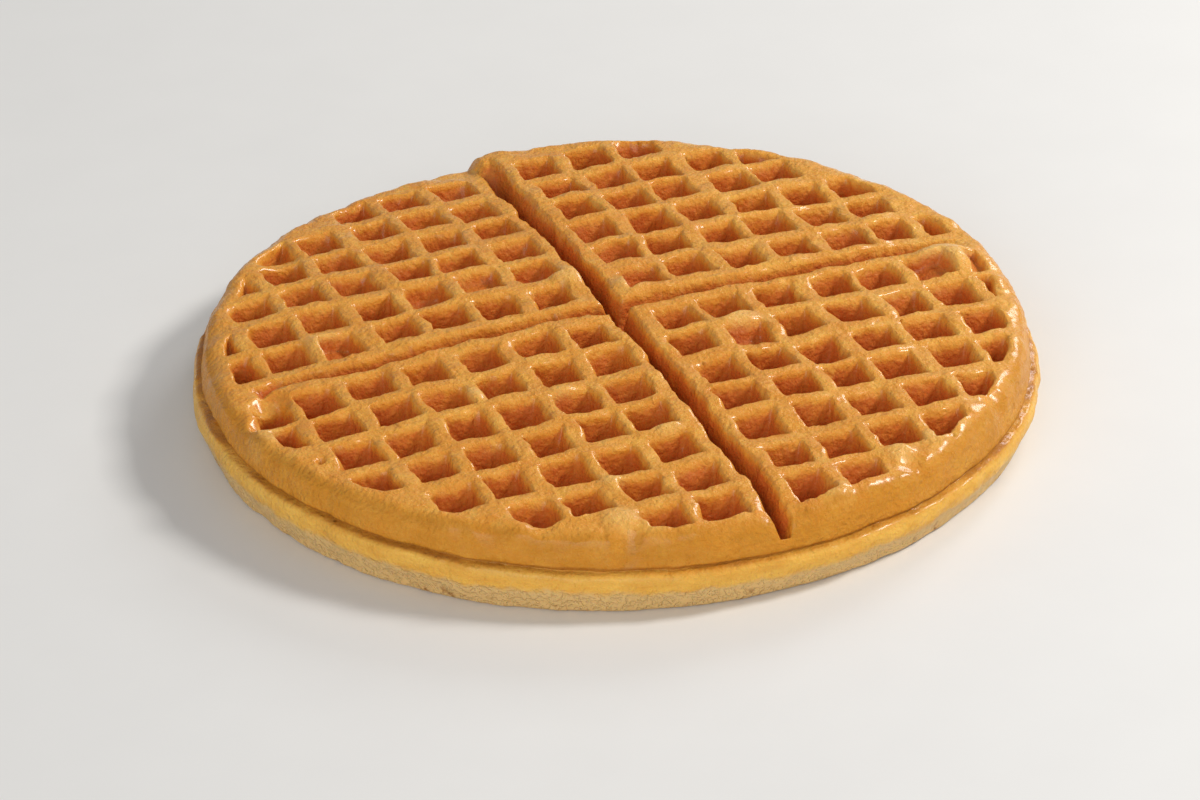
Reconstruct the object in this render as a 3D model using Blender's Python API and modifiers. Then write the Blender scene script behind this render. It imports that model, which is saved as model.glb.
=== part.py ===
"""A round waffle from a cross-grooved iron, in metres, +Z up.

The origin is at the centre of the underside, on which the waffle rests. The two grooves that
mark its quarters run along X and Y, and cross a little off the middle, because the batter ran
further towards the front. Run it with blender --background --python part.py.
"""

import itertools
import math

import bmesh
import bpy
from mathutils import Matrix, Vector

# Driving dimensions
DIAMETER = 0.178  # over the bead, the size of a seven-inch iron
THICKNESS = 0.0176  # at the rim
CROWN = 0.0032  # how far the middle of the top stands above its edge
RADIUS = DIAMETER / 2
MIDDLE = THICKNESS / 2

# The grid: fourteen pockets, the groove and the rim take fifteen cells in all
CELL = DIAMETER / 15
CELLS_PER_QUARTER = 7
CROSSING = (0.0012, 0.0030)  # where the grooves cross
QUARTER_OFFSET = 0.32 * CELL  # from a groove's centre line to the quarter's first cell
RIB_WIDTH = 0.0032  # at the top of the ribs
POCKET_DEPTH = 0.0070
POCKET_DRAFT = math.tan(math.radians(13))  # lean of the pocket walls
POST_RING = RADIUS - 0.0056  # the iron's posts are cut off at this radius, at the rib tops
LAST_CELL = RADIUS - 0.0047  # a cell whose middle lies beyond this radius has no post

# The grooves between the quarters
GROOVE_WIDTH = 0.0036
GROOVE_FLOOR = 0.0010
TOP_GROOVE_DEPTH = 0.0078  # runs out through the rim, down to the seam
UNDER_GROOVE_DEPTH = 0.0066  # stops inside the rim, which is whole below the seam

# The rim, from the top down
UPPER_RADIUS = RADIUS - 0.0026  # of the upper half at the shoulder
SHOULDER_ROUND = 0.0032
SEAM_RADIUS = RADIUS - 0.0020  # of the crease where the iron's halves met
SEAM_HEIGHT = 0.0096
BEAD_TALL = 0.0052  # of the bead of batter under the crease
FOOT_RADIUS = RADIUS - 0.0020
FOOT_HEIGHT = 0.0028
FOOT_ROUND = 0.0014

TURN_STEPS = 64
OVERCUT = 0.002  # how far a cutter stands out of the surface that it cuts
MERGE = 0.00005


def arc(centre, radius, start, end, points):
    """Points along a circle in the (radius, height) plane, with the angles in degrees."""
    for i in range(points):
        angle = math.radians(start + (end - start) * i / (points - 1))
        yield (centre[0] + radius * math.cos(angle), centre[1] + radius * math.sin(angle))


def bead(points):
    """Points down the bead, between the crease above it and the foot below."""
    bulge = RADIUS - SEAM_RADIUS
    for i in range(1, points + 1):
        angle = math.pi * i / (points + 1)
        drop = BEAD_TALL * (1 - math.cos(angle)) / 2
        yield (SEAM_RADIUS + bulge * math.sin(angle) ** 0.7, SEAM_HEIGHT - drop)


def rim_outline():
    """The outline to turn, from the middle of the top down the outer side to the underside."""
    shoulder = (UPPER_RADIUS - SHOULDER_ROUND, THICKNESS - SHOULDER_ROUND)
    foot = (FOOT_RADIUS - FOOT_ROUND, FOOT_ROUND)
    yield (0.0, THICKNESS)
    yield from arc(shoulder, SHOULDER_ROUND, 90, 14, 4)
    yield (SEAM_RADIUS, SEAM_HEIGHT)
    yield from bead(5)
    yield (FOOT_RADIUS, FOOT_HEIGHT)
    yield from arc(foot, FOOT_ROUND, -15, -90, 3)
    yield (0.0, 0.0)


def new_collection(name):
    collection = bpy.data.collections.new(name)
    bpy.context.scene.collection.children.link(collection)
    return collection


def add_object(name, mesh_build, collection):
    """Makes an object at half height from a bmesh, and frees the bmesh."""
    mesh = bpy.data.meshes.new(name)
    mesh_build.to_mesh(mesh)
    mesh_build.free()
    obj = bpy.data.objects.new(name, mesh)
    obj.location.z = MIDDLE
    collection.objects.link(obj)
    return obj


def add_cutter(name, mesh_build, collection):
    cutter = add_object(name, mesh_build, collection)
    cutter.hide_render = True
    cutter.display_type = "WIRE"
    return cutter


def turned_batter(collection):
    """The plain disc of batter: the rim's outline turned about Z."""
    mesh_build = bmesh.new()
    points = [mesh_build.verts.new((radius, 0, height - MIDDLE)) for radius, height in rim_outline()]
    for upper, lower in zip(points, points[1:]):
        mesh_build.edges.new((upper, lower))
    batter = add_object("waffle", mesh_build, collection)
    screw = batter.modifiers.new("turn", "SCREW")
    screw.steps = TURN_STEPS
    screw.render_steps = TURN_STEPS
    screw.use_merge_vertices = True
    screw.merge_threshold = MERGE
    return batter


def post_centres():
    """The middle of every post of one half of the iron, in all four quarters."""
    steps = [QUARTER_OFFSET + (i + 0.5) * CELL for i in range(CELLS_PER_QUARTER)]
    for along_x, along_y in itertools.product(steps, steps):
        for side_x, side_y in itertools.product((-1, 1), (-1, 1)):
            x = CROSSING[0] + side_x * along_x
            y = CROSSING[1] + side_y * along_y
            if math.hypot(x, y) < LAST_CELL:
                yield (x, y)


def add_frustum(mesh_build, segments, radius, low, high, place):
    """A drafted peg whose radius is given at the rib tops. Heights are from half height."""
    spread = POCKET_DRAFT / math.cos(math.pi / segments)
    bmesh.ops.create_cone(
        mesh_build,
        cap_ends=True,
        segments=segments,
        radius1=radius + (low - MIDDLE) * spread,
        radius2=radius + (high - MIDDLE) * spread,
        depth=high - low,
        matrix=Matrix.Translation((0, 0, (low + high) / 2)) @ place,
    )


def post_cutter(collection):
    """The posts of both halves of the iron: square, drafted, and cut off at the post ring."""
    floor = MIDDLE - POCKET_DEPTH
    corner = (CELL - RIB_WIDTH) / math.sqrt(2)
    quarter_turn = Matrix.Rotation(math.pi / 4, 4, "Z")
    square_pegs = bmesh.new()
    for x, y in post_centres():
        place = Matrix.Translation((x, y, 0)) @ quarter_turn
        add_frustum(square_pegs, 4, corner, floor, MIDDLE + OVERCUT, place)
    posts = add_cutter("posts", square_pegs, collection)

    disc = bmesh.new()
    add_frustum(disc, TURN_STEPS, POST_RING, floor - OVERCUT, MIDDLE + 2 * OVERCUT, Matrix())
    ring = add_cutter("post_ring", disc, collection)

    limit = posts.modifiers.new("stop_at_ring", "BOOLEAN")
    limit.operation = "INTERSECT"
    limit.object = ring
    mirror = posts.modifiers.new("lower_half", "MIRROR")
    mirror.use_axis = (False, False, True)
    mirror.use_mirror_merge = False
    return posts


def blade_cutter(name, axis, side, depth, reach, collection):
    """A bar of the iron that marks the quarters: its section and its ends taper inwards.

    The axis is 0 for a groove along X and 1 for one along Y. The side is 1 for the upper half of
    the iron and -1 for the lower half.
    """
    edge = MIDDLE - depth
    back = MIDDLE + OVERCUT
    lean = (GROOVE_WIDTH - GROOVE_FLOOR) / (2 * depth)
    bar = bmesh.new()
    bmesh.ops.create_cube(bar, size=1.0)
    for vertex in bar.verts:
        height = back if vertex.co.z * side > 0 else edge
        length = reach + (height - MIDDLE) * POCKET_DRAFT
        half_width = GROOVE_WIDTH / 2 + (height - MIDDLE) * lean
        vertex.co = Vector(
            (
                math.copysign(length, vertex.co.x),
                math.copysign(half_width, vertex.co.y),
                height * side,
            )
        )
    blade = add_cutter(name, bar, collection)
    blade.rotation_euler.z = axis * math.pi / 2
    blade.location[1 - axis] = CROSSING[1 - axis]
    return blade


def press(batter, cutters):
    """Cuts every cutter's shape out of the batter and keeps the result as a plain mesh."""
    for cutter in cutters:
        cut = batter.modifiers.new(cutter.name, "BOOLEAN")
        cut.operation = "DIFFERENCE"
        cut.object = cutter
    bpy.context.view_layer.update()
    graph = bpy.context.evaluated_depsgraph_get()
    pressed = bpy.data.meshes.new_from_object(batter.evaluated_get(graph))
    pressed.transform(batter.matrix_world)
    batter.modifiers.clear()
    batter.data = pressed
    batter.location.z = 0


def raise_crown(batter):
    """Lifts the top towards the middle and leaves the underside flat."""
    mesh_build = bmesh.new()
    mesh_build.from_mesh(batter.data)
    bmesh.ops.triangulate(mesh_build, faces=mesh_build.faces)
    for vertex in mesh_build.verts:
        outward = math.hypot(vertex.co.x, vertex.co.y) / RADIUS
        vertex.co.z += CROWN * (1 - outward**2) * vertex.co.z / THICKNESS
    mesh_build.to_mesh(batter.data)
    mesh_build.free()


def crust_material():
    material = bpy.data.materials.new("crust")
    material.use_nodes = True
    shader = material.node_tree.nodes["Principled BSDF"]
    shader.inputs["Base Color"].default_value = (0.62, 0.30, 0.065, 1)
    shader.inputs["Roughness"].default_value = 0.45
    shader.inputs["Metallic"].default_value = 0.0
    return material


def main():
    for obj in list(bpy.data.objects):
        bpy.data.objects.remove(obj)
    desserts = new_collection("round_waffle")
    iron = new_collection("waffle_iron")

    waffle = turned_batter(desserts)
    cutters = [post_cutter(iron)]
    through_rim = RADIUS + OVERCUT + TOP_GROOVE_DEPTH * POCKET_DRAFT
    for axis, letter in enumerate("xy"):
        cutters += [
            blade_cutter(f"top_blade_{letter}", axis, 1, TOP_GROOVE_DEPTH, through_rim, iron),
            blade_cutter(f"under_blade_{letter}", axis, -1, UNDER_GROOVE_DEPTH, POST_RING, iron),
        ]
    press(waffle, cutters)
    raise_crown(waffle)

    waffle.data.materials.clear()
    waffle.data.materials.append(crust_material())
    waffle.data.shade_smooth()
    waffle.data.set_sharp_from_angle(angle=math.radians(30))


main()
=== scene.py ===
# %% [markdown]
# # A round waffle from a cross-grooved iron
#
# The waffle is one baked body. A real one starts as batter poured on a round iron whose two
# halves carry square posts, and two blades that mark the quarters. This lesson makes it the same
# way: it pours a disc, presses it with an iron built as a Geometry Nodes tree, lets the crust
# wander as baked batter does, and then browns it with a procedural material.

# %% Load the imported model
import math

import bpy
import numpy as np
from mathutils import Matrix, Vector


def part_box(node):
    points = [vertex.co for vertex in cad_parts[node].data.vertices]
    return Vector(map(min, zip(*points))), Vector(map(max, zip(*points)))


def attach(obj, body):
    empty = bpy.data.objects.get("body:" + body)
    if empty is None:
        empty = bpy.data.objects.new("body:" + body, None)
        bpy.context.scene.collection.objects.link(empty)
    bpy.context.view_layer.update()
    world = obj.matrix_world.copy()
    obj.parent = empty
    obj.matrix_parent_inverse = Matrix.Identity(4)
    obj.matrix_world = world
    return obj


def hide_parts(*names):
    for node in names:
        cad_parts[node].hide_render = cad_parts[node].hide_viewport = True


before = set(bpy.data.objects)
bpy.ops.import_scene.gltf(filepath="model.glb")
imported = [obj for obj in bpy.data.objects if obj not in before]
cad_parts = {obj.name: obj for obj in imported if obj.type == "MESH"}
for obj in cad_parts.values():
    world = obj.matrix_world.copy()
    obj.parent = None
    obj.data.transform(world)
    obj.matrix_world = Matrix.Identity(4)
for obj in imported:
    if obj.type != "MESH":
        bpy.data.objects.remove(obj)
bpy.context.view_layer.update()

# %% [markdown]
# ## Sizes
#
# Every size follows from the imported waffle: fifteen cells of the grid span its width, and its
# height is the rim's thickness and the crown together. The grooves cross a little off the middle,
# because the batter ran further towards the front of the iron, and the first cell on each side
# of a groove starts about a third of a cell away from it. These sizes are named once, because the
# batter, the iron and the browning all need them.

# %% Read the sizes from the frame
low, high = (Vector(corner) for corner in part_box("waffle"))
RADIUS = (high.x - low.x) / 2
CELL = 2 * RADIUS / 15
CROWN = 0.0032
THICKNESS = high.z - low.z - CROWN
SEAM_HEIGHT = 0.0096
POST_RING = RADIUS - 0.0056
CROSSING = (0.0012, 0.0030)
QUARTER_OFFSET = 0.32
print(f"waffle {2000 * RADIUS:.1f} mm wide, {1000 * THICKNESS:.1f} mm at the rim, cell {1000 * CELL:.2f} mm")

# %% [markdown]
# ## Arithmetic on fields
#
# A rule such as "the wall leans out from the pocket's floor" is a formula, but a node tree spells
# it as boxes and wires. A small class that puts a Math node behind each operator keeps the
# formulas readable, and the same class serves Geometry Nodes and materials.

# %% A field that can be added, scaled and compared
class Field:
    """A node's output socket with arithmetic on it."""

    def __init__(self, tree, socket):
        self.tree = tree
        self.socket = socket

    def math(self, operation, *others):
        """Puts a Math node on this field, and on more fields or numbers."""
        node = add_node(self.tree, "ShaderNodeMath", dict(enumerate((self, *others))))
        node.operation = operation
        return Field(self.tree, node.outputs[0])

    def __add__(self, other):
        return self.math("ADD", other)

    def __sub__(self, other):
        return self.math("SUBTRACT", other)

    def __rsub__(self, other):
        return self.math("MULTIPLY_ADD", -1.0, other)

    def __mul__(self, other):
        return self.math("MULTIPLY", other)

    def __truediv__(self, other):
        return self.math("DIVIDE", other)

    __radd__ = __add__
    __rmul__ = __mul__

    def size(self):
        return self.math("ABSOLUTE")

    def floor(self):
        return self.math("FLOOR")

    def above(self, other):
        return self.math("GREATER_THAN", other)

    def clamped(self):
        return self.math("MAXIMUM", 0.0).math("MINIMUM", 1.0)

    def soft_min(self, other, blend):
        return self.math("SMOOTH_MIN", other, blend)

    def soft_max(self, other, blend):
        return self.math("SMOOTH_MAX", other, blend)

    def hypot(self, other):
        return (self * self + other * other).math("SQRT")

    def step(self, start, end):
        """0 before start, 1 after end, and an easy curve between them."""
        node = add_node(self.tree, "ShaderNodeMapRange", {"Value": self, "From Min": start, "From Max": end})
        node.interpolation_type = "SMOOTHSTEP"
        return Field(self.tree, node.outputs[0])


# %% [markdown]
# A field is only useful once it reaches a node, so the next helpers add nodes with their settings
# and inputs in one line, take vectors apart and put them together, and make cloudy noise whose
# scale is given as a size in metres.

# %% Nodes in one line
def wire(tree, value, socket):
    """Sends a field into a socket, or sets a plain value on it."""
    if isinstance(value, Field):
        tree.links.new(value.socket, socket)
    else:
        socket.default_value = value


def add_node(tree, kind, values=None, **settings):
    """Adds a node with its settings and its inputs, which are named or numbered."""
    node = tree.nodes.new(kind)
    for name, value in settings.items():
        setattr(node, name, value)
    for name, value in (values or {}).items():
        wire(tree, value, node.inputs[name])
    return node


def split(tree, vector):
    """The three parts of a vector field."""
    node = add_node(tree, "ShaderNodeSeparateXYZ", {0: vector})
    return [Field(tree, output) for output in node.outputs]


def joined(tree, x, y, z):
    """A vector field from three parts."""
    return Field(tree, add_node(tree, "ShaderNodeCombineXYZ", {0: x, 1: y, 2: z}).outputs[0])


def noise(tree, where, size, detail=2.0, roughness=0.5, output=0):
    """Cloudy noise around 0.5 whose features are about that size in metres."""
    node = add_node(
        tree,
        "ShaderNodeTexNoise",
        {"Vector": where, "Scale": 1 / size, "Detail": detail, "Roughness": roughness},
    )
    return Field(tree, node.outputs[output])


# %% [markdown]
# ## Pour the batter
#
# Before the iron closes, the batter is a plain thick disc. The iron will press hundreds of steep
# little walls into it, so the disc needs many small faces on both sides. A square grid is the
# easiest sheet to press, and a rim turned in rings keeps the edge smooth. The grid is clipped to
# a circle by sliding its outer points onto it, and each of those points then leads a line down
# the rim to the grid underneath, so that the disc is closed.

# %% The outline of the rim
SHOULDER_ROUND = 0.0034
UPPER_RADIUS = RADIUS - 0.0026
SEAM_RADIUS = RADIUS - 0.0017
FOOT_RADIUS = RADIUS - 0.0020
FOOT_ROUND = 0.0016
BEAD_TALL = 0.0050
SHEET_RADIUS = UPPER_RADIUS - 0.0010
SEAM_TILT = 0.0012
SEAM_TILT_BACK = 0.3


def arc(centre, radius, start, end, count=12):
    """Points along a circle in the (radius, height) plane, with the angles in degrees."""
    angles = np.radians(np.linspace(start, end, count))
    return np.stack([centre[0] + radius * np.cos(angles), centre[1] + radius * np.sin(angles)], axis=1)


def rim_outline(spacing):
    """Even points down the rim, from the top sheet's edge to the edge of the one underneath."""
    shoulder = (UPPER_RADIUS - SHOULDER_ROUND, THICKNESS - SHOULDER_ROUND)
    start = math.degrees(math.acos((SHEET_RADIUS - shoulder[0]) / SHOULDER_ROUND))
    turn = np.linspace(0, math.pi, 24)[1:-1]
    bulge = RADIUS - SEAM_RADIUS
    bead = np.stack(
        [
            SEAM_RADIUS + bulge * np.sin(turn) ** 0.6,
            SEAM_HEIGHT - BEAD_TALL * (1 - np.cos(turn)) / 2,
        ],
        axis=1,
    )
    points = np.concatenate(
        [
            arc(shoulder, SHOULDER_ROUND, start, 18),
            [
                (SEAM_RADIUS - 0.0003, SEAM_HEIGHT + 0.0016),
                (SEAM_RADIUS - 0.0002, SEAM_HEIGHT + 0.0006),
                (SEAM_RADIUS - 0.0008, SEAM_HEIGHT),
            ],
            bead[: len(bead) * 4 // 5],
            arc((FOOT_RADIUS - FOOT_ROUND, FOOT_ROUND), FOOT_ROUND, 0, -90),
            [(SHEET_RADIUS, 0.0)],
        ]
    )
    along = np.concatenate([[0], np.cumsum(np.linalg.norm(np.diff(points, axis=0), axis=1))])
    even = np.linspace(0, along[-1], round(along[-1] / spacing))
    return np.stack([np.interp(even, along, points[:, axis]) for axis in (0, 1)], axis=1)


print(len(rim_outline(0.0005)), "points down the rim")

# %% [markdown]
# The top and the underside share one sheet. Its faces are kept where any corner lies inside the
# circle, and the corners that stick out slide back onto the circle, in order of their angle, so
# that the rim's rings can start from them.

# %% The sheet
def round_sheet(spacing):
    """A square grid clipped to a circle: its points, its faces, and the loop of its edge."""
    count = math.ceil(SHEET_RADIUS / spacing) + 1
    line = np.arange(-count, count + 1) * spacing
    x, y = np.meshgrid(line, line, indexing="ij")
    inside = np.hypot(x, y) < SHEET_RADIUS - 0.4 * spacing
    number = np.arange(x.size).reshape(x.shape)
    corners = (np.s_[:-1, :-1], np.s_[1:, :-1], np.s_[1:, 1:], np.s_[:-1, 1:])
    kept = np.any([inside[corner] for corner in corners], axis=0)
    faces = np.stack([number[corner][kept] for corner in corners], axis=1)
    used, faces = np.unique(faces, return_inverse=True)
    faces = faces.reshape(-1, 4)
    points = np.stack([x.ravel()[used], y.ravel()[used]], axis=1)
    edge = np.flatnonzero(~inside.ravel()[used])
    points[edge] *= SHEET_RADIUS / np.linalg.norm(points[edge], axis=1, keepdims=True)
    edge = edge[np.argsort(np.arctan2(points[edge, 1], points[edge, 0]))]
    return points, faces, edge


print(len(round_sheet(CELL)[0]), "points in a sheet with one point to a cell")

# %% [markdown]
# The disc is the sheet, the rings and the sheet again. The seam between the halves of the iron
# isn't level on this waffle, so the rings near it are tilted. Points and faces are made with numpy
# and handed to Blender in one call, because adding them one by one would take minutes.

# %% The poured disc
SEAM_REACH = 0.005
RING_STRETCH = 1.4


def poured_batter(spacing):
    """The closed disc: a sheet on top, rings down the rim, and the same sheet underneath."""
    sheet, faces, edge = round_sheet(spacing)
    outline = rim_outline(RING_STRETCH * spacing)[1:-1]
    heading = sheet[edge] / SHEET_RADIUS
    tilt = SEAM_TILT * (SEAM_TILT_BACK * heading[:, 1] - heading[:, 0])
    rings = []
    for radius, height in outline:
        near_seam = math.exp(-(((height - SEAM_HEIGHT) / SEAM_REACH) ** 2))
        rings.append(np.column_stack([heading * radius, height + near_seam * tilt]))
    top = np.column_stack([sheet, top_height(np.hypot(*sheet.T))])
    underside = np.column_stack([sheet, np.zeros(len(sheet))])
    points = np.concatenate([top, *rings, underside])

    loops = [edge]
    loops += [len(sheet) + i * len(edge) + np.arange(len(edge)) for i in range(len(rings))]
    loops += [len(points) - len(sheet) + edge]
    all_faces = [faces, faces[:, ::-1] + len(points) - len(sheet)]
    for upper, lower in zip(loops, loops[1:]):
        all_faces.append(np.stack([upper, lower, np.roll(lower, -1), np.roll(upper, -1)], axis=1))
    mesh = bpy.data.meshes.new("baked_waffle")
    mesh.from_pydata(points, [], np.concatenate(all_faces))
    return mesh


def top_height(radius):
    """Height of the unpressed top: flat, and rounded down over the shoulder."""
    over = np.clip(radius - (UPPER_RADIUS - SHOULDER_ROUND), 0, SHOULDER_ROUND)
    return THICKNESS - SHOULDER_ROUND + np.sqrt(SHOULDER_ROUND**2 - over**2)


GRID_SPACING = CELL / 34
waffle = bpy.data.objects.new("baked_waffle", poured_batter(GRID_SPACING))
bpy.context.scene.collection.objects.link(waffle)
print(f"batter: {len(waffle.data.polygons)} faces, {1000 * GRID_SPACING:.2f} mm apart")

# %% [markdown]
# ## The iron
#
# Each half of the iron carries square posts with leaning sides, and two blades that cross near
# the middle. As geometry, a post would be a cutter for a Boolean, and 280 of them would leave
# hard, even edges. As a rule, a post is only the height of its surface over each point of the
# sheet. So the tree works out that height and lowers the batter to it, with a soft minimum that
# rounds the edges as batter does. The same tree presses the underside, mirrored about the middle.

# %% Start, feed and finish a tree
def new_tree(name, inputs):
    """A Geometry Nodes tree with number inputs, and fields for its geometry and its inputs."""
    tree = bpy.data.node_groups.new(name, "GeometryNodeTree")
    tree.interface.new_socket("Geometry", in_out="INPUT", socket_type="NodeSocketGeometry")
    tree.interface.new_socket("Geometry", in_out="OUTPUT", socket_type="NodeSocketGeometry")
    for label, kind in inputs.items():
        tree.interface.new_socket(label, in_out="INPUT", socket_type=kind)
    entry = tree.nodes.new("NodeGroupInput")
    fields = {output.name: Field(tree, output) for output in entry.outputs if output.name}
    return tree, fields


def read(tree, name):
    """A named attribute of the batter."""
    node = add_node(tree, "GeometryNodeInputNamedAttribute", {"Name": name}, data_type="FLOAT")
    return Field(tree, node.outputs["Attribute"])


def store(tree, geometry, name, value):
    """Keeps a field on the batter under a name, for later steps and for the browning."""
    node = add_node(
        tree,
        "GeometryNodeStoreNamedAttribute",
        {"Geometry": geometry, "Name": name, "Value": value},
        data_type="FLOAT",
        domain="POINT",
    )
    return Field(tree, node.outputs[0])


def place(tree, geometry, position):
    """Moves the batter's points to a vector field."""
    node = add_node(tree, "GeometryNodeSetPosition", {"Geometry": geometry, "Position": position})
    return Field(tree, node.outputs[0])


def finish_tree(tree, geometry, material):
    """Every tree ends in real geometry with its material on it."""
    real = add_node(tree, "GeometryNodeRealizeInstances", {"Geometry": geometry})
    painted = add_node(
        tree,
        "GeometryNodeSetMaterial",
        {"Geometry": Field(tree, real.outputs[0]), "Material": material},
    )
    leave = tree.nodes.new("NodeGroupOutput")
    tree.links.new(painted.outputs[0], leave.inputs[0])


def use_tree(obj, tree, values):
    """Puts the tree on an object and sets its inputs by their identifiers."""
    modifier = obj.modifiers.new(tree.name, "NODES")
    modifier.node_group = tree
    for item in tree.interface.items_tree:
        if item.in_out == "INPUT" and item.name in values:
            modifier[item.identifier] = values[item.name]


# %% [markdown]
# The iron's sizes are the tree's inputs, so a coarser or a deeper iron is the same tree with other
# numbers in the modifier's panel.

# %% The inputs of the iron
FLOAT = "NodeSocketFloat"
IRON_INPUTS = dict.fromkeys(
    (
        "Crossing X",
        "Crossing Y",
        "Cell",
        "Quarter Offset",
        "Rib Width",
        "Pocket Depth",
        "Wall Lean",
        "Post Ring",
        "Side Squeeze",
        "Last Cell",
        "Groove Width",
        "Groove Lean",
        "Top Groove Depth",
        "Under Groove Depth",
        "Crest Softness",
        "Floor Softness",
        "Post Wobble",
        "Thickness",
        "Crown",
        "Radius",
        "Seed",
    ),
    FLOAT,
)
print(len(IRON_INPUTS), "inputs on the iron")

# %% [markdown]
# ### Posts
#
# A post is a square peg with leaning sides, cut short by a ring near the rim. Its depth under a
# point is the distance inside its outline over the lean of its wall, and no more than the
# pocket's floor. Every pocket draws its floor and a small shift from white noise on its own cell,
# because no two posts leave the batter alike.

# %% How deep the posts press
POST_CORNER = 0.06
RING_CORNER = 0.12
LEAST_DEPTH = 0.84
DEPTH_SPREAD = 0.22


def inside_ring(given, x, y):
    """How far inside the ring that ends the posts a point lies. It is narrower along X."""
    return given["Post Ring"] - (x * given["Side Squeeze"]).hypot(y)


def post_place(given, from_groove):
    """Along one axis, the middle of the post over a point, and its cells from the first post."""
    cells = from_groove.size() / given["Cell"] - given["Quarter Offset"]
    middle = (cells.floor() + 0.5 + given["Quarter Offset"]) * given["Cell"]
    return middle * from_groove.math("SIGN"), cells


def pocket_depth(tree, given, x, y, face):
    """The depth that the posts press, and a great height where there is no post."""
    grid_x = x - given["Crossing X"]
    grid_y = y - given["Crossing Y"]
    post_x, column = post_place(given, grid_x)
    post_y, row = post_place(given, grid_y)
    reach = (post_x + given["Crossing X"]).hypot(post_y + given["Crossing Y"])
    has_post = column.above(0.0) * row.above(0.0) * given["Last Cell"].above(reach)

    # Each pocket has its own chances: a shift both ways, and a depth
    name = joined(tree, post_x * 1000, post_y * 1000, face + given["Seed"])
    chances = add_node(tree, "ShaderNodeTexWhiteNoise", {"Vector": name})
    shift_x, shift_y, deeper = split(tree, Field(tree, chances.outputs["Color"]))
    floor_depth = given["Pocket Depth"] * (LEAST_DEPTH + DEPTH_SPREAD * deeper) * read(tree, "share")
    across = (grid_x - post_x - (shift_x - 0.5) * given["Post Wobble"]).size()
    along = (grid_y - post_y - (shift_y - 0.5) * given["Post Wobble"]).size()

    half_post = (given["Cell"] - given["Rib Width"]) * 0.5
    inside = half_post - across.soft_max(along, given["Cell"] * POST_CORNER)
    inside = inside.soft_min(inside_ring(given, x, y), given["Cell"] * RING_CORNER)
    wall = inside / given["Wall Lean"]
    pocket = wall.soft_min(floor_depth, given["Floor Softness"])
    return pocket * has_post - (1 - has_post) * given["Thickness"]


# %% [markdown]
# ### Blades
#
# Two blades cross between the posts and press V-shaped grooves. On top, the one along Y is deep
# and runs out through the front of the rim, and the other ends close up before the edge.
# Underneath, all of them end at the ring of posts, so the rim's lower half stays whole.

# %% How deep the blades press
LONG_BLADE = 1.0
CROSS_BLADE = 0.8
CLOSING_FROM = 0.80
SIDE_CLOSED = 0.95
BACK_CLOSED = 0.96
CLOSED_HEIGHT = 0.003


def groove_depth(given, x, y, face):
    """The depth that the two blades press, each fading towards its closed ends."""
    top = face.above(0.0)
    end_x = 1 - x.size().step(given["Radius"] * CLOSING_FROM, given["Radius"] * SIDE_CLOSED)
    end_y = 1 - y.step(given["Radius"] * CLOSING_FROM, given["Radius"] * BACK_CLOSED)
    under_depth = given["Under Groove Depth"]
    blade_depth = under_depth + (given["Top Groove Depth"] - under_depth) * top
    lower_end = inside_ring(given, x, y) / given["Wall Lean"] + given["Thickness"] * top
    long_groove = (x - given["Crossing X"], end_y, LONG_BLADE)
    cross_groove = (y - given["Crossing Y"], end_x, CROSS_BLADE)
    grooves = []
    for from_blade, ending, share in (long_groove, cross_groove):
        slope = (given["Groove Width"] * 0.5 - from_blade.size()) / given["Groove Lean"]
        groove = slope.soft_min(blade_depth * ending * share, given["Floor Softness"] * 0.5)
        grooves.append(groove.math("MINIMUM", lower_end) - (1 - ending) * CLOSED_HEIGHT)
    return grooves[0].math("MAXIMUM", grooves[1])


# %% [markdown]
# ### Closing the iron
#
# The deeper of post and blade wins at each point, and the batter is lowered to it, towards the
# middle of the disc from both faces. The disc is then raised a little in the middle, where the
# batter rose. The depth is stored before the points move, since its formula reads their places.

# %% The closed iron
def iron_tree(material):
    """The closed iron, as a tree that presses both faces of the batter."""
    tree, given = new_tree("waffle iron", IRON_INPUTS)
    position = Field(tree, tree.nodes.new("GeometryNodeInputPosition").outputs[0])
    x, y, z = split(tree, position)
    half_thickness = given["Thickness"] * 0.5
    from_middle = z - half_thickness
    face = from_middle.math("SIGN")
    height = from_middle.size()
    pocket = pocket_depth(tree, given, x, y, face)
    groove = groove_depth(given, x, y, face)

    pressed_depth = pocket.soft_max(groove, given["Floor Softness"] * 0.5)
    pressed = height.soft_min(half_thickness - pressed_depth, given["Crest Softness"])
    pressed = pressed.math("MINIMUM", height)
    new_z = half_thickness + face * pressed
    outward = x.hypot(y) / given["Radius"]
    crown = given["Crown"] * (1 - outward * outward) * new_z / given["Thickness"]

    depth = (height - pressed) / given["Pocket Depth"]
    geometry = store(tree, given["Geometry"], "depth", depth)
    geometry = place(tree, geometry, joined(tree, x, y, new_z + crown))
    finish_tree(tree, geometry, material)
    return tree


# %% [markdown]
# ## The crust
#
# Baked batter never copies its iron. The ribs wander by about half a millimetre, the walls
# ripple, steam leaves small dents, and one quarter sinks where the batter ran thin. A second tree
# adds this with noise that slides the points sideways before it lifts them, because a sideways
# slide bends an edge where a lift would only blur it.

# %% The wandering of the crust
CRUST_INPUTS = dict.fromkeys(("Wander", "Ripple", "Dents", "Sag", "Rise", "Radius", "Seed"), FLOAT)
WANDER_SIZE = 0.012
RIPPLE_SIZE = 0.0036
DENT_SIZE = 0.0052
WAVE_SIZE = 0.016


def pushes(tree, sample, size, detail, roughness, strength):
    """Sideways pushes along X and Y, from the colours of cloudy noise."""
    cloud = split(tree, noise(tree, sample, size, detail, roughness, output=1))
    return [(part - 0.5) * strength for part in cloud[:2]]


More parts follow.
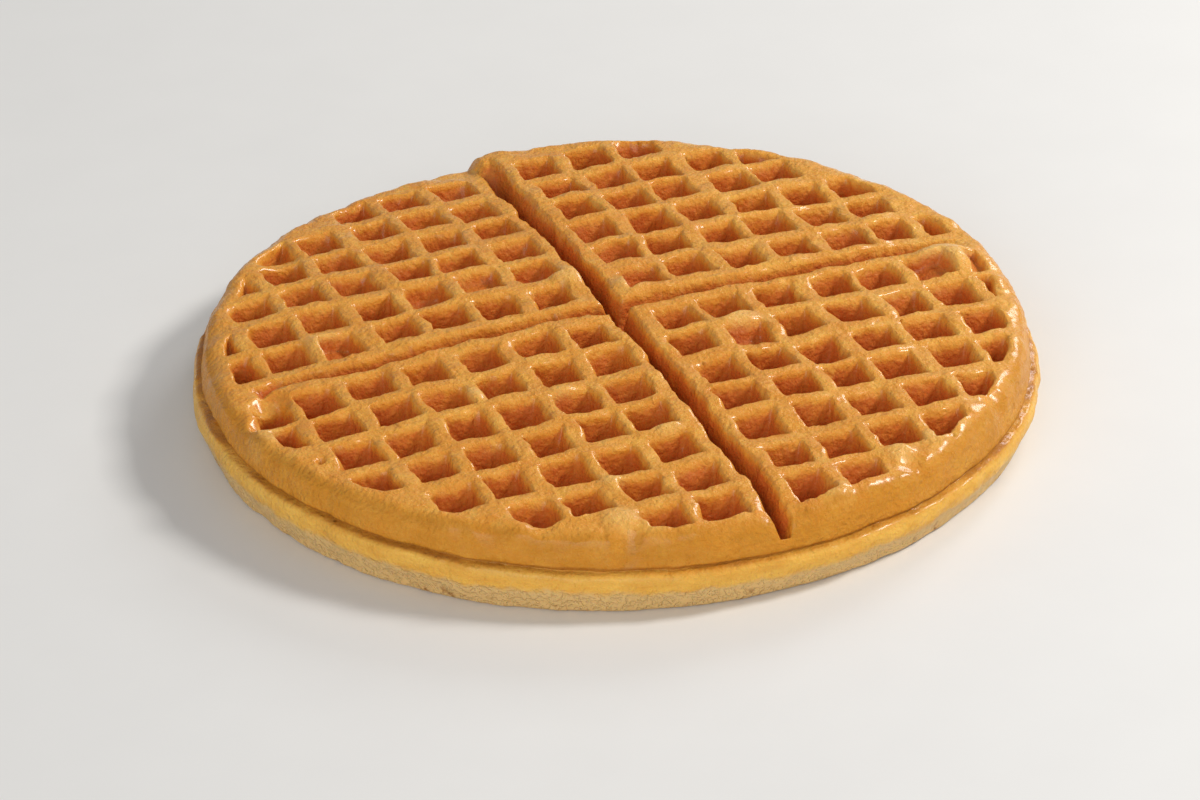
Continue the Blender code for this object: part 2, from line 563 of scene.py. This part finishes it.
def crust_tree(material):
    """Noise that bends the ribs, ripples the walls and lets a quarter sag."""
    tree, given = new_tree("baked crust", CRUST_INPUTS)
    position = Field(tree, tree.nodes.new("GeometryNodeInputPosition").outputs[0])
    x, y, z = split(tree, position)
    sample = joined(tree, x + given["Seed"], y, z * 0.7)

    # The rim's side keeps its turned shape, so the slide is about halved over it
    free = 0.45 + 0.55 * (1 - x.hypot(y).step(POST_RING, RADIUS - 0.003))
    slides = pushes(tree, sample, WANDER_SIZE, 1.0, 0.5, given["Wander"])
    ripples = pushes(tree, sample, RIPPLE_SIZE, 2.0, 0.55, given["Ripple"])
    new_x = x + (slides[0] + ripples[0]) * free
    new_y = y + (slides[1] + ripples[1]) * free

    # Small dents and swellings stand off the surface, and fade out where the waffle rests
    depth = read(tree, "depth").clamped()
    swelling = (noise(tree, sample, DENT_SIZE, 3.0, 0.6) - 0.5) * given["Dents"] * (0.5 + 0.2 * depth)
    upper = z.step(0.35 * THICKNESS, 0.75 * THICKNESS)
    waves = (noise(tree, sample, WAVE_SIZE, 1.0) - 0.5) * given["Dents"] * 0.9 * upper
    off_table = z.step(0.0, 0.002)

    # The quarter at the back left sank beside the long groove, and the top tips up to the back
    sunk = (0 - x).step(-0.0012, 0.0012) * y.step(0.02, given["Radius"])
    sunk = sunk * (1 + x / 0.09).clamped()
    sag = given["Sag"] * sunk * z.step(SEAM_HEIGHT, THICKNESS)
    rise = given["Rise"] * (y / given["Radius"]) * z.step(SEAM_HEIGHT * 0.5, THICKNESS)
    lift = (swelling + waves) * off_table - sag + rise

    geometry = place(tree, given["Geometry"], joined(tree, new_x, new_y, z + lift))
    finish_tree(tree, geometry, material)
    return tree


# %% [markdown]
# ## Browning
#
# One crust covers the whole waffle, but it browns unevenly. Ribs that stand proud lose their
# steam first and turn golden, pockets that sat on a hot post go deeper and redder, and the
# darkening with depth is also painted shade in the pockets. The band under the bead, which touched
# little metal, stays pale and rough, and the crease above the bead is painted shade. A painted
# image could show that, but a material can follow it with masks: the pressed depth that the iron
# stored, the height on the rim, and cloudy noise.

# %% Helpers for colours
def start_material(name):
    """A material, its nodes, its shader and the object's own coordinates."""
    material = bpy.data.materials.new(name)
    material.use_nodes = True
    tree = material.node_tree
    coordinates = Field(tree, tree.nodes.new("ShaderNodeTexCoord").outputs["Object"])
    return material, tree, tree.nodes["Principled BSDF"], coordinates


def blend_colour(tree, amount, first, second):
    """A mix of two colours, each a field or four numbers."""
    node = add_node(tree, "ShaderNodeMix", {"Factor": amount}, data_type="RGBA")
    wire(tree, first, node.inputs[6])
    wire(tree, second, node.inputs[7])
    return Field(tree, node.outputs[2])


def ramp(tree, amount, stops):
    """Colours along a scale from 0 to 1."""
    node = add_node(tree, "ShaderNodeValToRGB", {0: amount})
    elements = node.color_ramp.elements
    while len(elements) < len(stops):
        elements.new(0.5)
    for element, (at, colour) in zip(elements, stops):
        element.position = at
        element.color = (*colour, 1.0)
    return Field(tree, node.outputs[0])


def carried(tree, name):
    """A value that the mesh carries on its points."""
    return Field(tree, add_node(tree, "ShaderNodeAttribute", attribute_name=name).outputs["Fac"])


# %% [markdown]
# ### The toasted face
#
# Toast goes from pale gold to red brown along one scale. The pressed depth moves a point along
# it, first quickly over the lip and then slowly, so the pockets darken partly from browning and
# partly as painted shade, and three sizes of noise move it back and forth: patches of a hotter
# iron, blotches of sugar and grains of flour. Gold clouds lie over the ribs, and more gold towards
# the right is painted light on the lit side. Swollen places, which left the iron early, stay pale,
# and that paleness is partly a painted highlight on their bulges.

# %% Colours of the toasted face
PATCH_SIZE = 0.030
GILD_SIZE = 0.0045
GRAIN_SIZE = 0.0011
TOAST_AND_POCKET_SHADE = (
    (0.00, (0.80, 0.40, 0.068)),
    (0.25, (0.71, 0.280, 0.032)),
    (0.50, (0.62, 0.165, 0.030)),
    (0.75, (0.56, 0.124, 0.028)),
    (1.00, (0.45, 0.078, 0.020)),
)
GOLD = (0.84, 0.44, 0.075, 1.0)
PALE_BATTER_AND_HIGHLIGHT = (0.88, 0.56, 0.17, 1.0)


def toast_and_painted_light(tree, where, depth, blotches):
    """The colours of the ribs and the pockets."""
    x = split(tree, where)[0]
    patches = noise(tree, where, PATCH_SIZE, 3.0, 0.55) - 0.5
    grains = noise(tree, where, GRAIN_SIZE, 3.0, 0.65) - 0.5
    # The pressed depth darkens the pockets: partly real browning, partly painted shade in the recesses.
    toast_and_pocket_shade = 0.19 + depth.step(0.03, 0.28) * 0.27 + depth.step(0.3, 0.9) * 0.05
    toast_and_pocket_shade = toast_and_pocket_shade + patches * 0.22 + blotches * 0.34 + grains * 0.26
    colour = ramp(tree, toast_and_pocket_shade, TOAST_AND_POCKET_SHADE)

    clouds = noise(tree, where, GILD_SIZE, 3.0, 0.6).step(0.48, 0.70)
    # Gold clouds are the crust's own tone; the extra gold towards the right is painted light on the lit
    # side.
    gold_and_right_side_light = clouds * 0.55 + x.step(0.02, RADIUS) * 0.35
    gold_and_right_side_light = gold_and_right_side_light * (1 - depth.step(0.0, 0.4))
    colour = blend_colour(tree, gold_and_right_side_light, colour, GOLD)
    # Swollen places are paler batter, and the pale patch also serves as a painted highlight on each bulge.
    pale_and_highlight = carried(tree, "swollen") * (0.45 + blotches * 1.2) * (1 - depth.step(0.0, 0.35))
    return blend_colour(tree, pale_and_highlight.clamped(), colour, PALE_BATTER_AND_HIGHLIGHT)


# %% [markdown]
# ### The rim
#
# The rim shows how the iron closed. Above the seam the side touched the upper half and is amber,
# the bead that squeezed out between the halves is straw yellow, and the band under it hardly
# touched metal, so it stays cream, with a ragged upper edge and a few scorched spots near the
# table. The masks are steps on the height from the tilted seam, and the crease is painted brown
# as painted shade under the overhang.

# %% Colours of the rim
AMBER = (0.54, 0.215, 0.014, 1.0)
STRAW = (0.86, 0.50, 0.095, 1.0)
CREAM = (0.70, 0.46, 0.19, 1.0)
CREASE_SHADE_AND_SCORCH_BROWN = (0.30, 0.10, 0.014, 1.0)
RIM_FROM = RADIUS - 0.0056
RIM_FULL = RADIUS - 0.0036
STREAK_SIZE = 0.009
RAGGED_SIZE = 0.005
RAGGED_HEIGHT = 0.004


def rimmed(tree, where, colour, blotches):
    """Adds the rim's colours, and returns them with the masks of the rim and its pale band."""
    x, y, z = split(tree, where)
    from_seam = z - (SEAM_HEIGHT + (y * SEAM_TILT_BACK - x) * (SEAM_TILT / RADIUS))
    rim = x.hypot(y).step(RIM_FROM, RIM_FULL)
    streaks = noise(tree, joined(tree, x, y, z * 3.0), STREAK_SIZE, 3.0, 0.6) - 0.5
    colour = blend_colour(tree, rim * (0.60 + streaks), colour, AMBER)
    bead = rim * (1 - from_seam.step(-0.0009, 0.0002))
    colour = blend_colour(tree, (bead * (0.68 + streaks * 1.6)).clamped(), colour, STRAW)

    ragged = from_seam + (noise(tree, where, RAGGED_SIZE, 3.0, 0.6) - 0.5) * RAGGED_HEIGHT
    pale = rim * (1 - ragged.step(-0.0052, -0.0034))
    colour = blend_colour(tree, pale * 0.9, colour, CREAM)
    scorched = pale * blotches.step(0.10, 0.18) * (1 - z.step(0.001, 0.004))
    # The brown in the crease is painted shade under the overhang; the scorched spots are real.
    painted_crease_shade = rim * (1 - (from_seam - 0.0003).size().step(0.0001, 0.0006))
    crease_shade_and_scorch = (painted_crease_shade * 0.6 + scorched * 0.8).clamped()
    return blend_colour(tree, crease_shade_and_scorch, colour, CREASE_SHADE_AND_SCORCH_BROWN), rim, pale


# %% [markdown]
# ### The skin
#
# A baked crust has a fine skin: pimples of dried batter everywhere, and open pores in the pale
# band. Both are far too small to model, so a Bump node tilts the light on them.

# %% Relief of the skin
PIMPLE_SIZE = 0.0032
PIMPLE_HEIGHT = 0.0007
SPECK_SIZE = 0.0010
SPECK_HEIGHT = 0.0007
PORE_SIZE = 0.0011
PORE_DEPTH = 0.0003


def skin_relief(tree, where, pale):
    """The tilted normals of pimples, specks and pores."""
    skin = noise(tree, where, PIMPLE_SIZE, 4.0, 0.6) * PIMPLE_HEIGHT
    skin = skin + noise(tree, where, SPECK_SIZE, 3.0) * SPECK_HEIGHT
    pores = noise(tree, where, PORE_SIZE, 2.0, 0.6).step(0.40, 0.52) * pale * PORE_DEPTH
    relief = skin * (1 - pale * 0.6) + pores
    bump = add_node(tree, "ShaderNodeBump", {"Height": relief, "Distance": 1.0, "Strength": 0.9})
    return bump.outputs[0]


# %% [markdown]
# ### The crust's material
#
# The waffle came off a buttered iron. Its butter is the shader's coat, thick on level places and
# thin on steep walls, in pockets and on the rim, so the ribs glint and the walls don't. A little
# light also goes through the batter, which subsurface scattering gives.

# %% The crust's material
BLOTCH_SIZE = 0.006
SHEEN_SIZE = 0.004


def butter_weight(tree, depth, rim):
    """How much butter lies on a point."""
    facing = Field(tree, tree.nodes.new("ShaderNodeNewGeometry").outputs["Normal"])
    level = split(tree, facing)[2].size().step(0.25, 0.60)
    return 0.60 * (1 - 0.6 * depth) * (0.35 + level * 0.65) * (1 - 0.4 * rim)


def crust_material():
    """Golden on the ribs, deeper in the pockets with painted shade, pale and rough under the bead."""
    material, tree, shader, where = start_material("crust")
    depth = carried(tree, "depth").clamped()
    blotches = noise(tree, where, BLOTCH_SIZE, 4.0, 0.6) - 0.5
    colour = toast_and_painted_light(tree, where, depth, blotches)
    colour, rim, pale = rimmed(tree, where, colour, blotches)
    wire(tree, colour, shader.inputs["Base Color"])
    rough = 0.44 + (noise(tree, where, SHEEN_SIZE, 3.0) - 0.5) * 0.5 + pale * 0.25
    wire(tree, rough, shader.inputs["Roughness"])
    wire(tree, butter_weight(tree, depth, rim), shader.inputs["Coat Weight"])
    tree.links.new(skin_relief(tree, where, pale), shader.inputs["Normal"])
    shader.inputs["Coat Roughness"].default_value = 0.19
    shader.inputs["Coat IOR"].default_value = 1.45
    shader.inputs["Specular IOR Level"].default_value = 0.10
    shader.inputs["Subsurface Weight"].default_value = 0.18
    shader.inputs["Subsurface Radius"].default_value = (1.0, 0.42, 0.12)
    shader.inputs["Subsurface Scale"].default_value = 0.0015
    return material


CRUST = crust_material()
print(len(CRUST.node_tree.nodes), "nodes brown the crust")

# %% [markdown]
# ## Pockets that filled up
#
# Where steam lifted the crust off a post, a pocket stayed shallow. Each of those is named by its
# cell, counted outwards from the grooves along X and along Y, with the share of the depth that
# is left. The share travels to the iron as an attribute on the batter.

# %% Mark the shallow pockets
SHALLOW = {
    (-1, 2): 0.50,
    (-2, 2): 0.42,
    (-3, 2): 0.55,
    (-5, 1): 0.60,
    (1, 1): 0.60,
    (2, -2): 0.60,
    (6, -1): 0.50,
    (7, -1): 0.35,
    (-7, -1): 0.60,
    (-5, 5): 0.60,
}


def points_of(mesh):
    """The places of a mesh's points, one row each."""
    places = np.empty(3 * len(mesh.vertices))
    mesh.vertices.foreach_get("co", places)
    return places.reshape(-1, 3)


def keep_on_points(mesh, name, values):
    """Stores a value for every point under a name."""
    mesh.attributes.new(name, "FLOAT", "POINT").data.foreach_set("value", values)


def mark_shares(mesh):
    """Stores the share of the pocket's depth on every point of the top."""
    places = points_of(mesh)
    from_crossing = places[:, :2] - CROSSING
    steps = np.floor(np.abs(from_crossing) / CELL - QUARTER_OFFSET) + 1
    cells = np.sign(from_crossing) * steps
    share = np.ones(len(places))
    for cell, left in SHALLOW.items():
        share[np.all(cells == cell, axis=1) & (places[:, 2] > SEAM_HEIGHT)] = left
    keep_on_points(mesh, "share", share)


mark_shares(waffle.data)
print(len(SHALLOW), "pockets stay shallow")

# %% [markdown]
# ## Press and bake
#
# Both trees now go on the batter with their sizes, first the iron and then the crust. What they
# make is turned into a plain mesh at once, so that later steps can push single points, and so
# that the export meets no live modifier.

# %% Press, bake and keep the mesh
LAST_CELL = RADIUS - 0.0047

use_tree(
    waffle,
    iron_tree(CRUST),
    {
        "Crossing X": CROSSING[0],
        "Crossing Y": CROSSING[1],
        "Cell": CELL,
        "Quarter Offset": QUARTER_OFFSET,
        "Rib Width": 0.0032,
        "Pocket Depth": 0.0074,
        "Wall Lean": 0.22,
        "Post Ring": POST_RING,
        "Side Squeeze": 1.022,
        "Last Cell": LAST_CELL,
        "Groove Width": 0.0040,
        "Groove Lean": 0.19,
        "Top Groove Depth": 0.0080,
        "Under Groove Depth": 0.0066,
        "Crest Softness": 0.0032,
        "Floor Softness": 0.0020,
        "Post Wobble": 0.0015,
        "Thickness": THICKNESS,
        "Crown": CROWN,
        "Radius": RADIUS,
        "Seed": 3.0,
    },
)
use_tree(
    waffle,
    crust_tree(CRUST),
    {
        "Wander": 0.0032,
        "Ripple": 0.0019,
        "Dents": 0.0026,
        "Sag": 0.0030,
        "Rise": 0.0006,
        "Radius": RADIUS,
        "Seed": 1.0,
    },
)


def settled(obj):
    """Turns what the modifiers make into the object's own plain mesh."""
    graph = bpy.context.evaluated_depsgraph_get()
    mesh = bpy.data.meshes.new_from_object(obj.evaluated_get(graph))
    obj.modifiers.clear()
    obj.data = mesh


settled(waffle)
print(f"pressed: {len(waffle.data.vertices)} points")

# %% [markdown]
# ## Marks of this one waffle
#
# A few places broke or bulged as this waffle came off its iron: a burst bubble near the front
# left, the groove's left end that tore into the pocket beside it, swollen lips, and dents where
# the batter closed over a post. Each is a soft push on the top, so a short list of places is
# enough: where it is, how wide it is, and how far it lifts the batter. The swollen places are
# also kept as an attribute, because they stay pale, partly as paler batter and partly as a
# painted highlight.

# %% Push the marks in
MARKS = (
    # x, y, radius and lift. First the burst bubble and the groove's torn end
    (-0.0755, -0.0290, 0.0008, -0.0020),
    (-0.0775, -0.0035, 0.0030, -0.0035),
    (-0.0810, -0.0095, 0.0022, -0.0028),
    # Swollen ribs round the crossing and at the sides
    (0.0230, -0.0130, 0.0034, 0.0008),
    (0.0745, -0.0040, 0.0050, 0.0022),
    (-0.0030, 0.0190, 0.0030, 0.0012),
    (0.0075, 0.0100, 0.0030, 0.0010),
    (-0.0590, 0.0140, 0.0036, 0.0012),
    # Dents in the lips near the rim
    (-0.0550, 0.0560, 0.0035, -0.0016),
    (0.0020, -0.0840, 0.0040, -0.0012),
    (-0.0300, -0.0810, 0.0022, -0.0022),
    (0.0600, -0.0610, 0.0026, -0.0018),
    (-0.0120, -0.0795, 0.0020, -0.0013),
    # Swollen lips at the front
    (-0.0065, -0.0815, 0.0016, 0.0009),
    (-0.0290, -0.0748, 0.0030, 0.0011),
    (-0.0228, -0.0783, 0.0024, 0.0010),
    # Swollen ribs of the front left quarter
    (-0.0389, -0.0196, 0.0022, 0.0008),
    (-0.0083, -0.0475, 0.0024, 0.0009),
    (-0.0252, -0.0614, 0.0018, 0.0007),
    (-0.0221, -0.0259, 0.0018, 0.0007),
    # Swollen and dented lips to the right and the left of the front
    (0.0319, -0.0735, 0.0024, 0.0009),
    (0.0409, -0.0709, 0.0026, 0.0009),
    (-0.0825, -0.0148, 0.0030, 0.0009),
    (-0.0440, -0.0700, 0.0024, -0.0012),
    (0.0330, -0.0770, 0.0020, -0.0011),
    (0.0145, -0.0820, 0.0022, 0.0009),
    (0.0480, -0.0680, 0.0018, 0.0008),
)
FADE_ABOVE_SEAM = 0.004


def push_marks(mesh):
    """Lifts or lowers the top softly around each mark, and stores where it is swollen."""
    places = points_of(mesh)
    on_top = np.clip((places[:, 2] - SEAM_HEIGHT) / FADE_ABOVE_SEAM, 0, 1)
    swollen = np.zeros(len(places))
    for x, y, radius, lift in MARKS:
        away = np.hypot(places[:, 0] - x, places[:, 1] - y) / radius
        push = on_top * np.exp(-(away**4) / 2)
        places[:, 2] += lift * push
        if lift > 0:
            swollen = np.maximum(swollen, push)
    keep_on_points(mesh, "swollen", swollen)
    mesh.vertices.foreach_set("co", places.ravel())
    mesh.update()


push_marks(waffle.data)
print(len(MARKS), "marks")

# %% [markdown]
# ## Fewer faces where nothing happens
#
# The even grid spends as many faces on a smooth rim as on a rib's edge. Decimate by collapse
# takes them away where the surface is nearly flat and leaves them where it bends.

# %% Thin the mesh
FACE_BUDGET = 190000


def thin(obj, budget):
    """Collapses edges until the object has no more triangles than the budget."""
    obj.data.calc_loop_triangles()
    ratio = budget / len(obj.data.loop_triangles)
    if ratio < 1:
        obj.modifiers.new("thin", "DECIMATE").ratio = ratio
        settled(obj)


thin(waffle, FACE_BUDGET)
waffle.data.shade_smooth()
print(f"finished: {len(waffle.data.polygons)} faces")

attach(waffle, "root")
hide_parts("waffle")

# %% [markdown]
# ## Table
#
# The waffle lies on a plain pale table. Its faint mottling is a node group with named inputs, so
# that another board or cloth could use the same mottling with sizes of its own.

# %% A group for mottling
def mottle_group():
    """Cloudy variation around 1, in two sizes."""
    group = bpy.data.node_groups.new("mottle", "ShaderNodeTree")
    group.interface.new_socket("Vector", in_out="INPUT", socket_type="NodeSocketVector")
    for label in ("Coarse Size", "Fine Size", "Strength"):
        group.interface.new_socket(label, in_out="INPUT", socket_type=FLOAT)
    group.interface.new_socket("Value", in_out="OUTPUT", socket_type=FLOAT)
    entry = group.nodes.new("NodeGroupInput")
    given = {output.name: Field(group, output) for output in entry.outputs if output.name}
    clouds = []
    for label in ("Coarse Size", "Fine Size"):
        scale = given[label].math("POWER", -1.0)
        values = {"Vector": given["Vector"], "Scale": scale, "Detail": 3.0}
        node = add_node(group, "ShaderNodeTexNoise", values)
        clouds.append(Field(group, node.outputs[0]) - 0.5)
    value = 1 + (clouds[0] + clouds[1] * 0.6) * given["Strength"]
    leave = group.nodes.new("NodeGroupOutput")
    wire(group, value, leave.inputs[0])
    return group


MOTTLE = mottle_group()


def mottled(tree, where, coarse, fine, strength):
    """The mottling group, placed in a material with its own sizes."""
    values = {"Vector": where, "Coarse Size": coarse, "Fine Size": fine, "Strength": strength}
    node = tree.nodes.new("ShaderNodeGroup")
    node.node_tree = MOTTLE
    for label, value in values.items():
        wire(tree, value, node.inputs[label])
    return Field(tree, node.outputs[0])


# %% The table
TABLE_WIDTH = 6.0


def table_material():
    """Pale paint with the faintest mottling."""
    material, tree, shader, where = start_material("pale table")
    tint = mottled(tree, where, 0.25, 0.02, 0.06)
    shade = add_node(tree, "ShaderNodeVectorMath", {0: (0.80, 0.795, 0.78)}, operation="SCALE")
    wire(tree, tint, shade.inputs["Scale"])
    tree.links.new(shade.outputs[0], shader.inputs["Base Color"])
    wire(tree, mottled(tree, where, 0.1, 0.01, 0.1) * 0.5, shader.inputs["Roughness"])
    return material


bpy.ops.mesh.primitive_plane_add(size=TABLE_WIDTH, location=(0, 0, low.z))
table = bpy.context.object
table.name = "table"
table.data.materials.append(table_material())
print(f"a table {TABLE_WIDTH:.0f} m wide")

# %% [markdown]
# ## Light
#
# Three square soft boxes and an even sky light the waffle. The key light to the right draws the
# shadow of every rib, the glint behind it is what the butter mirrors, and a large dim fill at the
# front left, with the sky, keeps the pockets' shaded walls warm.

# %% The lights
def soft_light(name, azimuth, elevation, distance, size, watts, tint=(1, 1, 1)):
    """A square soft box that faces the waffle from a compass direction, in degrees from +X."""
    data = bpy.data.lights.new(name, "AREA")
    data.size = size
    data.energy = watts
    data.color = tint
    light = bpy.data.objects.new(name, data)
    bpy.context.scene.collection.objects.link(light)
    flat = math.cos(math.radians(elevation))
    heading = Vector(
        (
            flat * math.cos(math.radians(azimuth)),
            flat * math.sin(math.radians(azimuth)),
            math.sin(math.radians(elevation)),
        )
    )
    light.location = heading * distance
    light.rotation_euler = heading.to_track_quat("Z", "Y").to_euler()


soft_light("key", azimuth=-12, elevation=42, distance=1.2, size=0.25, watts=9.6, tint=(1.0, 0.97, 0.93))
soft_light("glint", azimuth=38, elevation=27, distance=1.3, size=0.35, watts=4)
soft_light("fill", azimuth=235, elevation=22, distance=1.6, size=1.2, watts=13)

# %% The sky and how its light is shown
SKY_STRENGTH = 0.30
world = bpy.data.worlds.new("studio")
world.use_nodes = True
sky = world.node_tree.nodes["Background"]
sky.inputs["Color"].default_value = (1.0, 1.0, 1.0, 1.0)
sky.inputs["Strength"].default_value = SKY_STRENGTH
bpy.context.scene.world = world
bpy.context.scene.view_settings.view_transform = "Standard"
print(len(bpy.data.lights), "soft boxes and a sky of strength", SKY_STRENGTH)

# %% [markdown]
# ## Camera
#
# A long lens from a low three-quarter view shows the grid, the two grooves and the bands of the
# rim together, with little of the stretch that a short lens would give a flat disc.

# %% The camera
def look(azimuth, elevation, distance, aim, roll, lens):
    """A camera round the waffle: azimuth 0 looks along +Y, and 90 along -X."""
    data = bpy.data.cameras.new("camera")
    data.lens = lens
    data.sensor_width = 36
    data.clip_start = 0.05
    camera = bpy.data.objects.new("camera", data)
    bpy.context.scene.collection.objects.link(camera)
    turn = (
        Matrix.Rotation(math.radians(azimuth), 4, "Z")
        @ Matrix.Rotation(math.radians(90 - elevation), 4, "X")
        @ Matrix.Rotation(math.radians(roll), 4, "Z")
    )
    camera.matrix_world = Matrix.Translation(aim) @ turn @ Matrix.Translation((0, 0, distance))
    bpy.context.scene.camera = camera


look(
    azimuth=-21.1,
    elevation=29.3,
    distance=1.139,
    aim=Vector((-0.0097, -0.0152, 0.0095)),
    roll=-1.67,
    lens=164.7,
)
print(f"camera at {[round(part, 3) for part in bpy.context.scene.camera.matrix_world.translation]}")
